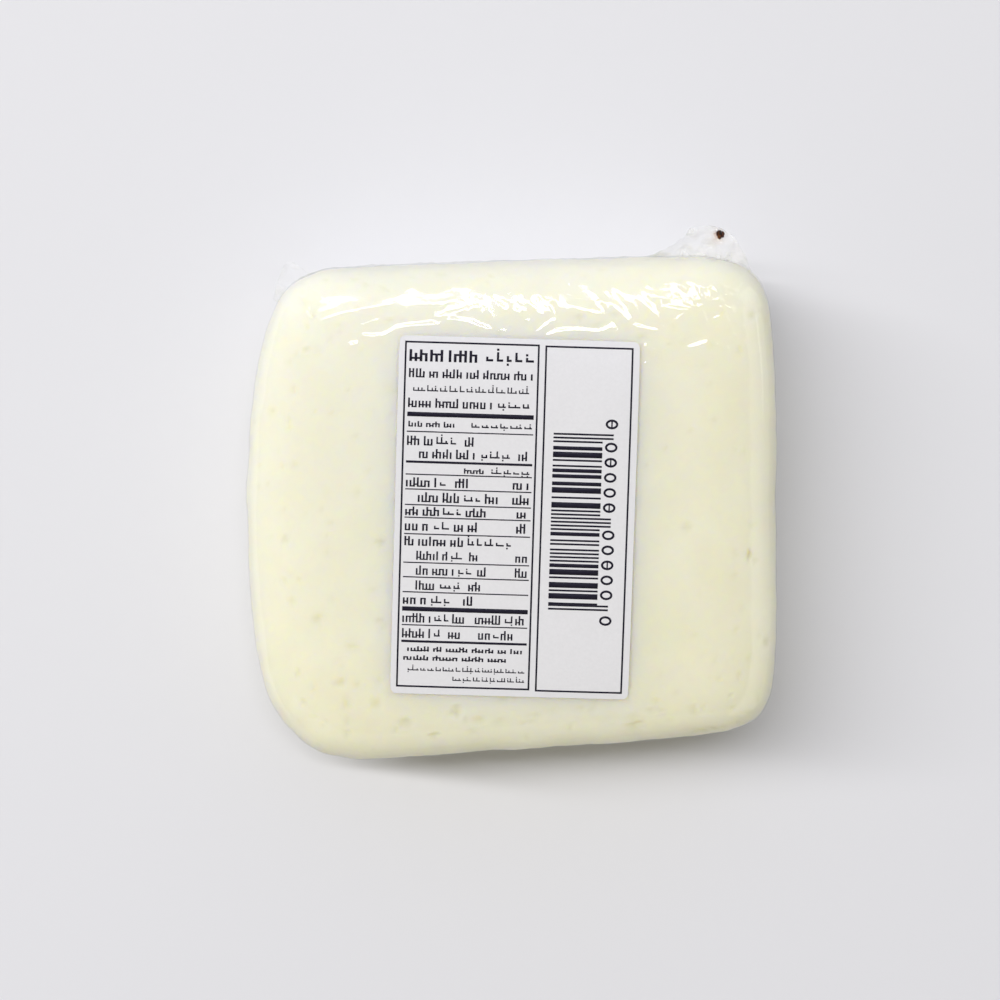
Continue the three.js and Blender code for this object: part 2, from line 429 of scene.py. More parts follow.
def ridge(x, y, chain, half_width):
    """A pleat's height from 0 to 1 at x, y, where it runs through a chain of points."""
    room = 3 * half_width
    if not min(p[1] for p in chain) - room < y < max(p[1] for p in chain) + room:
        return 0.0
    if not min(p[0] for p in chain) - room < x < max(p[0] for p in chain) + room:
        return 0.0
    away = min(reach_of_stretch(x, y, *stretch) for stretch in zip(chain, chain[1:]))
    return math.exp(-(away / half_width) ** 2)


def crease_lines(point, length, seed, thin):
    """Long thin creases: 1 on the lines where a smooth wave changes sign, falling to 0 beside them."""
    return math.exp(-(wave_at(point, length, seed) / thin) ** 2)


def label_mask(x, y, margin):
    """1 under the label and out to a margin round it, then falling to 0."""
    dx, dy = x - LABEL_AT[0], y - LABEL_AT[1]
    across = abs(dx * math.cos(LABEL_TURN) + dy * math.sin(LABEL_TURN)) - LABEL_SIZE[0] / 2
    along = abs(dy * math.cos(LABEL_TURN) - dx * math.sin(LABEL_TURN)) - LABEL_SIZE[1] / 2
    return 1 - smooth_step(max(across, along), 0, margin)


film_mesh = cut_cube(FILM_STEPS)
fine = {
    v for v in film_mesh.verts
    if (v.co.z > 1 - TINY and v.co.y > FINE_TOP) or (v.co.y > 1 - TINY and v.co.z > FINE_BACK)
}
fine_edges = [e for e in film_mesh.edges if e.verts[0] in fine and e.verts[1] in fine]
bmesh.ops.subdivide_edges(film_mesh, edges=fine_edges, cuts=FINE_CUTS, use_grid_fill=True)
lay_on_block(film_mesh)
block_face = BVHTree.FromBMesh(film_mesh)


def face_under(x, y):
    """Where the block's upper face is at x, y, and how it faces."""
    place, facing, _, _ = block_face.ray_cast(Vector((x, y, 3 * HALF_HEIGHT)), Vector((0, 0, -1)))
    return place, facing


def lacking_slope(facing):
    """How much steeper a place would have to be to catch the window, in radians."""
    return math.radians(GLINT_SLOPE) - math.atan2(facing.y, facing.z)


set_pleats = []
for half_width, *chain in PLEATS:
    shifted = []
    for x, y in chain:
        _, facing = face_under(x, y)
        side = math.copysign(half_width / math.sqrt(2), lacking_slope(facing))
        shifted.append((x, y - side))
    set_pleats.append((half_width, shifted, chain))


def from_left(x, value, *changes):
    """A value that changes from left to right, at x: each change is a stretch of x and the next value."""
    for (start, end), following in changes:
        value = mix(value, following, smooth_step(x, start, end))
    return value


def film_relief(point, normal):
    x, y, z = point
    upper = smooth_step(normal.z, 0.3, 0.6)
    clear = 1 - label_mask(x, y, 1.0)
    height = SLACK[0] * wave_at(point, *SLACK[1:]) * mix(0.3, 1, clear)

    band = smooth_step(y, *BAND_FRONT) * smooth_step(y, *BAND_BACK) * smooth_step(abs(x), *BAND_ENDS) * upper
    if y > 20 and upper > 0:
        calm = 0.0
        lacking = math.tan(min(max(abs(lacking_slope(normal)), 0.06), 0.35)) / PLEAT_STEEPEST
        for half_width, shifted, chain in set_pleats:
            height += PLEAT_GAIN * lacking * half_width * ridge(x, y, shifted, half_width) * clear * upper
            calm = max(calm, ridge(x, y, chain, 1.5 * half_width + 0.4))
        lean = from_left(x, *LEAN)
        along = x * math.cos(lean) - y * math.sin(lean)
        across = x * math.sin(lean) + y * math.cos(lean)
        stretched = (along / from_left(x, *LENGTH), across, z)
        billow = BILLOW[0] * wave_at(stretched, *BILLOW[1:])
        billow += CRINKLE[0] * crease_lines(stretched, *CRINKLE[1:])
        height += band * clear * (1 - calm) * from_left(x, *STRENGTH) * billow
    if x > 45 and upper > 0:
        for tall, half_width, *chain in RIM_PLEATS:
            height += tall * ridge(x, y, chain, half_width)

    side = smooth_step(abs(normal.z), 0.75, 0.35)
    if side > 0:
        round_block = math.atan2(y, x) * HALF_WIDTH
        hanging = (round_block, z / 4, 0)
        loose = HANGING_WAVE[0] * wave_at(hanging, *HANGING_WAVE[1:])
        loose += HANGING_CREASE[0] * crease_lines(hanging, *HANGING_CREASE[1:])
        height += side * loose
        if normal.y > 0.3:
            seal = math.exp(-((z - SEAL_HEIGHT) / SEAL_HALF_WIDTH) ** 2)
            seal *= smooth_step(abs(x - SEAL_MIDDLE), *SEAL_ENDS)
            height += side * seal * (SEAL_TALL + SEAL_TEETH[0] * math.sin(x * SEAL_TEETH[1]))
        if normal.y < -0.1:
            for tall, half_width, level, start, end in LIPS:
                window = smooth_step(x, start, start + 6) * (1 - smooth_step(x, end - 6, end))
                level += 0.8 * wave_at((x, 0, 0), 9, 2.7)
                height += tall * window * math.exp(-((z - level) / half_width) ** 2)
        for root, fade, spokes in EAR_ROOTS:
            away = (point - root).length
            spread = math.atan2(z - root.z, x - root.x)
            height += ROOT_FOLDS * math.exp(-(away / fade) ** 2) * (1 + math.sin(spokes * spread)) * side
    return pressed(point, normal) + max(height, -FILM_SUNK)


push(film_mesh, film_relief)

# The film's shine is its two faces' together, and it levels off where it is seen edge on
BOTH_FACES = 1.8
MOST_SHINE = 0.24

film_look, add, link = new_material("clear_shrink_film")
out = add("ShaderNodeOutputMaterial")
see = add("ShaderNodeBsdfTransparent")
see.inputs["Color"].default_value = (0.985, 0.985, 0.975, 1)
gloss = add("ShaderNodeBsdfGlossy", Roughness=0.13)
facing = add("ShaderNodeFresnel", IOR=1.5)
inside = add("ShaderNodeNewGeometry")
outside = add("ShaderNodeMath", operation="SUBTRACT")
outside.inputs[0].default_value = 1
shine = add("ShaderNodeMath", operation="MULTIPLY")
both_faces = add("ShaderNodeMath", operation="MULTIPLY")
both_faces.inputs[1].default_value = BOTH_FACES
at_rims = add("ShaderNodeMath", operation="MINIMUM")
at_rims.inputs[1].default_value = MOST_SHINE
blend = add("ShaderNodeMixShader")
where = add("ShaderNodeTexCoord")
ripple = add("ShaderNodeTexNoise", Scale=420.0, Detail=2.0, Roughness=0.45)
bump = add("ShaderNodeBump", Strength=0.22, Distance=0.0002)
link(where.outputs["Object"], ripple.inputs["Vector"])
link(ripple.outputs["Fac"], bump.inputs["Height"])
link(bump.outputs["Normal"], gloss.inputs["Normal"])
link(inside.outputs["Backfacing"], outside.inputs[1])
link(facing.outputs["Fac"], shine.inputs[0])
link(outside.outputs["Value"], shine.inputs[1])
link(shine.outputs["Value"], both_faces.inputs[0])
link(both_faces.outputs["Value"], at_rims.inputs[0])
link(at_rims.outputs["Value"], blend.inputs["Fac"])
link(see.outputs["BSDF"], blend.inputs[1])
link(gloss.outputs["BSDF"], blend.inputs[2])
link(blend.outputs["Shader"], out.inputs["Surface"])

film = add_piece(film_mesh, "film", film_look)
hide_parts("cheese_pack")

# The ears of film
# The two ends of the bag's seal, which the cheese doesn't fill. The heat has shrunk each to a
# crumpled fan of doubled film, gathered at its root and clouded where it is creased.
FILM_THICK = 0.09
# An ear: its root's ends in x, where its creases meet, how far its tip rises, how far it leans to the
# right, how many creases it has, how clouded it is, and how far it reaches out at even steps from left
# to right
EARS = {
    "film_ear_right": dict(
        ends=(28.8, 53.7), gather=(46.3, 51.5), rise=4.5, lean=0.0, creases=13, clouding=0.75,
        reach=(0.8, 1.6, 2.8, 4.2, 6.6, 7.2, 7.3, 7.2, 6.5, 4.9, 2.3)),
    "film_ear_left": dict(
        ends=(-51.0, -43.0), gather=(-46.0, 49.5), rise=2.0, lean=-2.0, creases=9, clouding=0.3,
        reach=(1.6, 3.9, 5.0, 4.4, 2.6, 1.0)),
}
EAR_STEPS = (96, 40)
EAR_SUNK = 0.3
# How much an ear narrows towards its tip, its edge's fray, the bend of its creases, and its crumples
# and the finer ones on them, as waves. Then how tall creases and crumples are, and how far it droops.
EAR_NARROWS = 0.12
EAR_FRAY = (0.25, 0.9, 3.7)
CREASE_BEND = (0.8, 6, 3.3)
CRUMPLE = (1.0, 3.4, 7.7)
FINE_CRUMPLE = (0.3, 1.6, 4.1)
CREASE_TALL = 1.1
CRUMPLE_TALL = 2.6
EAR_DROOPS = 1.2
CLEAR_FILM = (0.93, 0.93, 0.92, 1)
SCORCHED_FILM = (0.80, 0.36, 0.12, 1)

ear_look, add, link = new_material("bunched_film")
out = add("ShaderNodeOutputMaterial")
see = add("ShaderNodeBsdfTransparent")
cloud = add("ShaderNodeBsdfPrincipled", Roughness=0.14)
cloud.inputs["Specular IOR Level"].default_value = 1.0
cloud.inputs["Coat Weight"].default_value = 1.0
cloud.inputs["Coat Roughness"].default_value = 0.05
where = add("ShaderNodeTexCoord")
haze = add("ShaderNodeTexNoise", Scale=240.0, Detail=1.0, Roughness=0.5)
thick = add("ShaderNodeMapRange")
thick.inputs["From Min"].default_value = 0.38
thick.inputs["From Max"].default_value = 0.75
thick.inputs["To Min"].default_value = 0.12
thick.inputs["To Max"].default_value = 0.5
ear_cloud = add("ShaderNodeAttribute", attribute_name="clouding")
clouded = add("ShaderNodeMath", operation="MULTIPLY")
stain = add("ShaderNodeAttribute", attribute_name="scorch")
tinted = add("ShaderNodeMix", data_type="RGBA")
tinted.inputs["A"].default_value = CLEAR_FILM
tinted.inputs["B"].default_value = SCORCHED_FILM
covered = add("ShaderNodeMath", operation="MAXIMUM")
blend = add("ShaderNodeMixShader")
link(where.outputs["Object"], haze.inputs["Vector"])
link(haze.outputs["Fac"], thick.inputs["Value"])
link(thick.outputs["Result"], clouded.inputs[0])
link(ear_cloud.outputs["Fac"], clouded.inputs[1])
link(clouded.outputs["Value"], covered.inputs[0])
link(stain.outputs["Fac"], covered.inputs[1])
link(stain.outputs["Fac"], tinted.inputs["Factor"])
link(tinted.outputs["Result"], cloud.inputs["Base Color"])
link(covered.outputs["Value"], blend.inputs["Fac"])
link(see.outputs["BSDF"], blend.inputs[1])
link(cloud.outputs["BSDF"], blend.inputs[2])
link(blend.outputs["Shader"], out.inputs["Surface"])

# The scorched crumb that sticks to the larger ear, where the middle of its stain is from there, how far
# and how strongly the stain spreads, and its blotches
CRUMB_AT = (46.0, 59.2)
STAIN_OFF = (-0.5, -0.4)
STAIN_REACH = 1.5
STAIN_MOST = 0.6
STAIN_BLOTCHES = (0.4, 0.8, 1.1)
ear_faces = {}
for name, ear in EARS.items():
    ear_mesh = bmesh.new()
    bmesh.ops.create_grid(ear_mesh, x_segments=EAR_STEPS[0], y_segments=EAR_STEPS[1], size=0.5)
    scorch = ear_mesh.verts.layers.float.new("scorch")
    clouding = ear_mesh.verts.layers.float.new("clouding")
    for vert in ear_mesh.verts:
        across, far = vert.co.x + 0.5, vert.co.y + 0.5
        step = across * (len(ear["reach"]) - 1)
        left = min(int(step), len(ear["reach"]) - 2)
        reach = mix(ear["reach"][left], ear["reach"][left + 1], smooth_step(step - left, 0, 1))
        x = mix(*ear["ends"], across)
        root, _, _, _ = block_face.ray_cast(Vector((x, 3 * HALF_DEPTH, SEAL_HEIGHT)), Vector((0, -1, 0)))
        x += far * (ear["lean"] + EAR_NARROWS * (ear["gather"][0] - x))
        y = root.y - EAR_SUNK + far * (reach + EAR_FRAY[0] * wave_at((x, 0, 0), *EAR_FRAY[1:]))
        ray = math.atan2(y - ear["gather"][1] + 2, x - ear["gather"][0])
        here = (x, y, 0)
        fold = abs(math.sin(ear["creases"] / 2 * ray + CREASE_BEND[0] * wave_at(here, *CREASE_BEND[1:])))
        crumple = sum(tall * abs(wave_at(here, *wave)) for tall, *wave in (CRUMPLE, FINE_CRUMPLE))
        loose = far ** 0.6 * min(1, reach / 4)
        folded = CREASE_TALL * fold + CRUMPLE_TALL * crumple - EAR_DROOPS
        vert.co = (x, y, SEAL_HEIGHT + ear["rise"] * far + folded * loose)
        away = math.hypot(x - STAIN_OFF[0] - CRUMB_AT[0], y - STAIN_OFF[1] - CRUMB_AT[1]) / STAIN_REACH
        blotched = 0.8 + STAIN_BLOTCHES[0] * wave_at(here, *STAIN_BLOTCHES[1:])
        vert[scorch] = STAIN_MOST * math.exp(-away * away) * blotched
        vert[clouding] = ear["clouding"] * (0.85 + 0.3 * fold)
    ear_faces[name] = BVHTree.FromBMesh(ear_mesh)
    ear_piece = add_piece(ear_mesh, name, ear_look)
    doubled = ear_piece.modifiers.new("doubled_film", "SOLIDIFY")
    doubled.thickness = FILM_THICK * MM
    doubled.offset = 0
    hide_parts("cheese_pack")

# The crumb
# A dark brown fleck, scorched in the sealing, that sticks to the larger ear. It is a few small lumps
# grown together, and the film round it is stained orange.

# Its lumps: how far across and along from its place, and radius. A lump's middle is this share of its
# radius above the ear, and a wave of this height, length and seed roughens it.
CRUMB_LUMPS = [(-0.2, 0.25, 0.66), (0.4, 0.05, 0.6), (-0.05, -0.5, 0.48), (0.55, -0.45, 0.3)]
CRUMB_RAISED = 0.6
CRUMB_ROUGH = (0.16, 0.45, 2.5)

crumb_look, add, link = new_material("scorched_crumb")
out = add("ShaderNodeOutputMaterial")
fleck = add("ShaderNodeBsdfPrincipled", Roughness=0.5)
fleck.inputs["Specular IOR Level"].default_value = 0.3
where = add("ShaderNodeTexCoord")
spots = add("ShaderNodeTexNoise", Scale=1500.0, Detail=2.0)
scorch = add("ShaderNodeValToRGB")
scorch.color_ramp.elements[0].position = 0.4
scorch.color_ramp.elements[0].color = (0.010, 0.003, 0.002, 1)
scorch.color_ramp.elements[1].position = 0.7
scorch.color_ramp.elements[1].color = (0.13, 0.035, 0.008, 1)
link(where.outputs["Object"], spots.inputs["Vector"])
link(spots.outputs["Fac"], scorch.inputs["Fac"])
link(scorch.outputs["Color"], fleck.inputs["Base Color"])
link(fleck.outputs["BSDF"], out.inputs["Surface"])

crumb_mesh = bmesh.new()
for dx, dy, radius in CRUMB_LUMPS:
    above = Vector((CRUMB_AT[0] + dx, CRUMB_AT[1] + dy, 3 * HALF_HEIGHT))
    place, _, _, _ = ear_faces["film_ear_right"].ray_cast(above, Vector((0, 0, -1)))
    sat = Matrix.Translation(place + Vector((0, 0, CRUMB_RAISED * radius)))
    bmesh.ops.create_icosphere(crumb_mesh, subdivisions=3, radius=radius, matrix=sat)
crumb_mesh.normal_update()
push(crumb_mesh, lambda point, normal: CRUMB_ROUGH[0] * wave_at(point, *CRUMB_ROUGH[1:]))
crumb = add_piece(crumb_mesh, "scorched_crumb", crumb_look)

# The label
# A sticker of white paper with rounded corners, pressed onto the film, so that it follows the block.
# Its size and place are given with the film, which lies smooth under it.
LABEL_CORNER = 1.3
LABEL_THICK = 0.12
# How far the label's upper face is above the block's
LABEL_TOP = 0.17
LABEL_STEPS = (78, 117)
LABEL_PLACE = Matrix.Translation((*LABEL_AT, 0)) @ Matrix.Rotation(LABEL_TURN, 4, "Z")


def drape(bm, lift):
    """Lays a flat mesh, given from the label's middle, on the block at a height above it."""
    for vert in bm.verts:
        x, y, _ = LABEL_PLACE @ vert.co
        place, facing = face_under(x, y)
        vert.co = place + Vector((0, 0, lift + pressed(place, facing)))


label_look, add, link = new_material("label_paper")
out = add("ShaderNodeOutputMaterial")
paper = add("ShaderNodeBsdfPrincipled", Roughness=0.42)
paper.inputs["Specular IOR Level"].default_value = 0.35
where = add("ShaderNodeTexCoord")
fibre = add("ShaderNodeTexNoise", Scale=1400.0, Detail=3.0, Roughness=0.6)
cockle = add("ShaderNodeTexNoise", Scale=75.0, Detail=1.0)
shade = add("ShaderNodeValToRGB")
shade.color_ramp.elements[0].position = 0.3
shade.color_ramp.elements[0].color = (0.718, 0.712, 0.728, 1)
shade.color_ramp.elements[1].position = 0.7
shade.color_ramp.elements[1].color = (0.748, 0.742, 0.758, 1)
fine_bump = add("ShaderNodeBump", Strength=0.12, Distance=0.00005)
broad_bump = add("ShaderNodeBump", Strength=0.25, Distance=0.0004)
link(where.outputs["Object"], fibre.inputs["Vector"])
link(where.outputs["Object"], cockle.inputs["Vector"])
link(fibre.outputs["Fac"], shade.inputs["Fac"])
link(shade.outputs["Color"], paper.inputs["Base Color"])
link(cockle.outputs["Fac"], broad_bump.inputs["Height"])
link(fibre.outputs["Fac"], fine_bump.inputs["Height"])
link(broad_bump.outputs["Normal"], fine_bump.inputs["Normal"])
link(fine_bump.outputs["Normal"], paper.inputs["Normal"])
link(paper.outputs["BSDF"], out.inputs["Surface"])

label_mesh = bmesh.new()
bmesh.ops.create_grid(label_mesh, x_segments=LABEL_STEPS[0], y_segments=LABEL_STEPS[1], size=0.5)
for vert in label_mesh.verts:
    x, y = vert.co.x * LABEL_SIZE[0], vert.co.y * LABEL_SIZE[1]
    over_x = abs(x) - (LABEL_SIZE[0] / 2 - LABEL_CORNER)
    over_y = abs(y) - (LABEL_SIZE[1] / 2 - LABEL_CORNER)
    if over_x > 0 and over_y > 0:
        pull = 1 - max(over_x, over_y) / math.hypot(over_x, over_y)
        x -= math.copysign(over_x * pull, x)
        y -= math.copysign(over_y * pull, y)
    vert.co = (x, y, 0)
drape(label_mesh, LABEL_TOP)
for edge in label_mesh.edges:
    edge.smooth = not edge.is_boundary
label = add_piece(label_mesh, "paper_label", label_look)
sheet = label.modifiers.new("paper_thickness", "SOLIDIFY")
sheet.thickness = LABEL_THICK * MM
sheet.offset = -1
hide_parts("label")

# The print
# Near-black ink on the label: a framed table of facts on the left and a framed panel with a pattern
# of bars on the right. It spells nothing and encodes nothing: words are runs of ticks and dashes, and
# the figures' places hold small rings.
INK_THICK = 0.05
# The thinnest pen, the frames' line, and the longest stretch of a stroke that isn't cut
PEN = 0.33
FRAME_LINE = 0.38
STRETCH = 2.0
# Upright words: how tall most ticks are, to the tallest, and the share of those, how far apart ticks are
# in heights and at least in pens, ticks in a word, the gap after it in steps, the share of ticks that are
# joined to the next, and how thick a joining bar is in pens
LOW_TICK = 0.7
TALL_SHARE = 0.3
TICK_STEP = (0.36, 1.95)
WORD_TICKS = (3, 8)
WORD_GAP = 1.8
JOINED_SHARE = 0.85
JOIN_THICK = 0.75
# Running script: how far its line is above the row's foot, how long its dashes are, how tall its rises
# are, to the row's height, how far apart they are in pens, the share of rises with a dot and of dots
# under the line, how far a dot is below the line or above the rise, and the gap between dashes, in pens
SCRIPT_LINE = 0.35
DASH = (1.0, 2.6)
RISES = (0.2, 0.3, 0.6)
RISE_STEP = (2.4, 4.5)
DOTTED_SHARE = 0.4
DOT_BELOW = 1.7
DOT_ABOVE = 1.6
DASH_GAP = 1.6
SCRIPT_PEN = 0.85
# Frames: left, top, right and bottom, from the label's top left corner
FRAMES = [(1.2, 1.15, 29.65, 74.75), (30.85, 1.3, 49.45, 74.95)]
RULE_ENDS = (2.1, 28.8)
# Rules across the table: how far down, and how thick
RULES = [
    (16.55, 0.95), (20.2, 0.25), (26.6, 0.5), (29.25, 0.25), (32.4, 0.25), (35.7, 0.25), (38.4, 0.25),
    (41.9, 0.25), (48.0, 0.25), (51.1, 0.25), (54.3, 0.25), (57.9, 0.95), (61.35, 0.25), (64.85, 0.5),
]
# Rows: top, bottom, how heavy, then the stretches of upright words and those of running script
ROWS = [
    (2.9, 5.4, 1.7, [(2.2, 9.4), (10.5, 17.4)], [(18.4, 28.5)]),
    (6.9, 8.8, 1.15, [(2.2, 28.5)], []),
    (10.3, 12.0, 0.9, [], [(3.2, 28.5)]),
    (13.1, 15.1, 1.15, [(2.2, 20.4)], [(21.2, 28.5)]),
    (18.0, 19.2, 1.0, [(2.4, 12.2)], [(15.7, 28.5)]),
    (21.1, 23.1, 1.15, [(2.2, 7.8), (14.4, 16.8)], [(8.4, 12.6)]),
    (23.8, 25.8, 1.15, [(4.8, 17.2), (25.8, 28.2)], [(18.0, 24.0)]),
    (27.7, 28.8, 1.0, [(14.4, 19.2)], [(20.2, 28.5)]),
    (29.9, 31.9, 1.2, [(2.2, 8.8), (12.6, 15.4), (24.8, 28.5)], [(9.4, 11.6)]),
    (33.0, 35.1, 1.2, [(4.8, 14.0), (19.0, 21.8), (24.8, 28.5)], [(14.6, 18.0)]),
    (36.1, 38.0, 1.2, [(2.2, 9.6), (15.0, 19.6), (25.8, 28.5)], [(10.2, 14.0)]),
    (39.1, 41.2, 1.2, [(2.2, 7.8), (12.6, 18.2), (25.8, 28.5)], [(8.4, 11.6)]),
    (42.4, 44.4, 1.2, [(2.2, 15.0)], [(15.6, 24.8)]),
    (45.5, 47.4, 1.1, [(4.8, 11.6), (16.0, 18.0), (25.8, 28.5)], [(12.2, 15.0)]),
    (48.6, 50.6, 1.1, [(4.8, 13.2), (17.8, 20.4), (25.8, 28.5)], [(13.8, 16.6)]),
    (51.8, 53.8, 1.1, [(4.8, 9.4), (16.0, 18.8)], [(10.0, 14.2)]),
    (54.9, 56.9, 1.2, [(2.2, 7.6), (15.0, 17.4)], [(8.2, 12.6)]),
    (58.8, 60.8, 1.1, [(2.2, 8.4), (12.8, 15.4), (17.6, 23.6), (26.2, 28.5)], [(9.0, 12.0), (24.0, 25.6)]),
    (62.1, 64.1, 1.1, [(2.2, 8.4), (12.0, 15.2), (18.4, 21.4), (23.2, 26.4)], [(9.0, 11.0), (21.6, 22.8)]),
    (65.9, 67.0, 1.1, [(3.4, 28.3)], []),
    (67.8, 68.9, 1.1, [(2.6, 24.8)], []),
    (70.2, 71.3, 0.8, [], [(3.6, 28.5)]),
    (72.2, 73.3, 0.8, [], [(13.2, 28.5)]),
]
# The bars: from and to across, how far the guards reach, from and to down, how many units that is, which
# units the guards take, and the units that a bar and a gap are drawn from
BARS_ACROSS = (33.1, 43.5)
GUARDS_TO = 45.8
BARS_DOWN = (19.6, 57.2)
BAR_UNITS = 95
GUARDS = [(0, 3), (45, 50), (92, 95)]
BAR_UNITS_THICK = (1, 1, 2, 3)
GAP_UNITS = (1, 1, 1, 2)
# The rings in the figures' places: from and to across, how tall they are, how far apart, their line, how
# many stand in a row, and where the stroke is that crosses every third one
RING = (44.0, 46.7)
RING_DOWN = 2.1
RING_STEP = 3.2
RING_LINE = 0.48
RINGS_IN_ROW = 5
RING_STROKE = (1.2, 1.5)

ink_look, add, link = new_material("label_ink")
out = add("ShaderNodeOutputMaterial")
ink = add("ShaderNodeBsdfPrincipled", Roughness=0.5)
ink.inputs["Specular IOR Level"].default_value = 0.15
where = add("ShaderNodeTexCoord")
mottle = add("ShaderNodeTexNoise", Scale=2500.0, Detail=1.0)
depth = add("ShaderNodeValToRGB")
depth.color_ramp.elements[0].color = (0.005, 0.004, 0.012, 1)
depth.color_ramp.elements[1].color = (0.018, 0.016, 0.030, 1)
link(where.outputs["Object"], mottle.inputs["Vector"])
link(mottle.outputs["Fac"], depth.inputs["Fac"])
link(depth.outputs["Color"], ink.inputs["Base Color"])
link(ink.outputs["BSDF"], out.inputs["Surface"])

print_mesh = bmesh.new()
draw = random.Random(5)


def stroke(left, top, right, bottom):
    """A filled stretch of ink, cut into short stretches so that it can follow the label."""
    wide, tall = right - left, bottom - top
    middle = Vector(((left + right - LABEL_SIZE[0]) / 2, (LABEL_SIZE[1] - top - bottom) / 2, 0))
    bmesh.ops.create_grid(
        print_mesh, x_segments=max(1, round(wide / STRETCH)), y_segments=max(1, round(tall / STRETCH)),
        size=0.5, matrix=Matrix.Translation(middle) @ Matrix.Diagonal((wide, tall, 1, 1)))


def outline(left, top, right, bottom, line):
    """A hollow box of four strokes that meet without overlapping."""
    stroke(left, top, right, top + line)
    stroke(left, bottom - line, right, bottom)
    stroke(left, top + line, left + line, bottom - line)
    stroke(right - line, top + line, right, bottom - line)


def upright_words(start, end, top, bottom, pen):
    """Ticks in groups as long as words, joined by short bars, some of them taller than the rest."""
    tall = bottom - top
    low_top = bottom - LOW_TICK * tall
    step = max(TICK_STEP[0] * tall, TICK_STEP[1] * pen)
    at, left_in_word = start, draw.randint(*WORD_TICKS)
    while at + pen <= end:
        stroke(at, top if draw.random() < TALL_SHARE else low_top, at + pen, bottom)
        left_in_word -= 1
        follows = left_in_word > 0 and at + step + pen <= end
        if follows and draw.random() < JOINED_SHARE:
            level = draw.choice((low_top, bottom - JOIN_THICK * pen, (low_top + bottom) / 2))
            stroke(at + pen, level, at + step, level + JOIN_THICK * pen)
        at += step if left_in_word > 0 else WORD_GAP * step
        if left_in_word <= 0:
            left_in_word = draw.randint(*WORD_TICKS)


def running_script(start, end, top, bottom, pen):
    """Dashes on a line, with small rises along them and dots over and under them."""
    tall = bottom - top
    line = bottom - SCRIPT_LINE * tall
    at = start
    while at < end - 2 * pen:
        until = min(at + draw.uniform(*DASH), end)
        stroke(at, line, until, line + pen)
        rise = at
        while rise + pen < until:
            lift = draw.choice(RISES) * tall
            stroke(rise, line - lift, rise + pen, line)
            if draw.random() < DOTTED_SHARE:
                below = draw.random() < DOTTED_SHARE
                dot = line + DOT_BELOW * pen if below else line - lift - DOT_ABOVE * pen
                stroke(rise, dot, rise + pen, dot + pen)
            rise += draw.uniform(*RISE_STEP) * pen
        at = until + DASH_GAP * pen


for left, top, right, bottom in FRAMES:
    outline(left, top, right, bottom, FRAME_LINE)
for down, thick_rule in RULES:
    stroke(RULE_ENDS[0], down - thick_rule / 2, RULE_ENDS[1], down + thick_rule / 2)
for top, bottom, weight, words, scripts in ROWS:
    for start, end in words:
        upright_words(start, end, top, bottom, PEN * weight)
    for start, end in scripts:
        running_script(start, end, top, bottom, PEN * weight * SCRIPT_PEN)

unit = (BARS_DOWN[1] - BARS_DOWN[0]) / BAR_UNITS
at = 0
while at < BAR_UNITS:
    guard = next((g for g in GUARDS if g[0] <= at < g[1]), None)
    if guard:
        reach, thick_bar, gap = GUARDS_TO, 1, 1
    else:
        reach = BARS_ACROSS[1]
        thick_bar, gap = draw.choice(BAR_UNITS_THICK), draw.choice(GAP_UNITS)
        room = min(g[0] for g in GUARDS if g[0] > at) - at
        thick_bar = min(thick_bar, max(room - 1, 1))
        gap = min(gap, max(room - thick_bar, 0))
    top = BARS_DOWN[0] + at * unit
    stroke(BARS_ACROSS[0], top, reach, top + thick_bar * unit)
    at += thick_bar + gap


def ring(across, down):
    """An oval ring of ink: two circles made oval, and the band between them."""
    middle = Matrix.Translation((across - LABEL_SIZE[0] / 2, LABEL_SIZE[1] / 2 - down, 0))
    edges = []
    for inset in (0, RING_LINE):
        oval = Matrix.Diagonal(((RING[1] - RING[0]) / 2 - inset, RING_DOWN / 2 - inset, 1, 1))
        circle = bmesh.ops.create_circle(print_mesh, segments=14, radius=1, matrix=middle @ oval)
        edges += dict.fromkeys(edge for vert in circle["verts"] for edge in vert.link_edges)
    bmesh.ops.bridge_loops(print_mesh, edges=edges)


first_ring = BARS_DOWN[0] + unit * GUARDS[0][1] + RING_STEP / 2
second_ring = BARS_DOWN[0] + unit * GUARDS[1][1] + RING_STEP / 2
ring_places = [first + RING_STEP * i for first in (first_ring, second_ring) for i in range(RINGS_IN_ROW)]
ring_places += [BARS_DOWN[0] - RING_DOWN, BARS_DOWN[1] + RING_DOWN]
for i, down in enumerate(ring_places):
    ring((RING[0] + RING[1]) / 2, down)
    if i % 3 == 1:
        room = RING_DOWN / 2 - RING_LINE
        stroke(RING[0] + RING_STROKE[0], down - room, RING[0] + RING_STROKE[1], down + room)
for face in print_mesh.faces:
    if face.normal.z < 0:
        face.normal_flip()

drape(print_mesh, LABEL_TOP)
label_print = add_piece(print_mesh, "label_print", ink_look)
inked = label_print.modifiers.new("ink_thickness", "SOLIDIFY")
inked.thickness = INK_THICK * MM
inked.offset = 0

# The studio
# A pale floor, a long soft light from the upper left, the light of a pale room, and the window and
# walls that the film mirrors.
FLOOR_SIZE = 3.0
FLOOR_DROP = 0.0002
FLOOR_PALE = (0.74, 0.74, 0.77, 1)

floor_look, add, link = new_material("pale_floor")
out = add("ShaderNodeOutputMaterial")
board = add("ShaderNodeBsdfPrincipled", Roughness=0.7)
board.inputs["Base Color"].default_value = FLOOR_PALE
board.inputs["Specular IOR Level"].default_value = 0.2
link(board.outputs["BSDF"], out.inputs["Surface"])

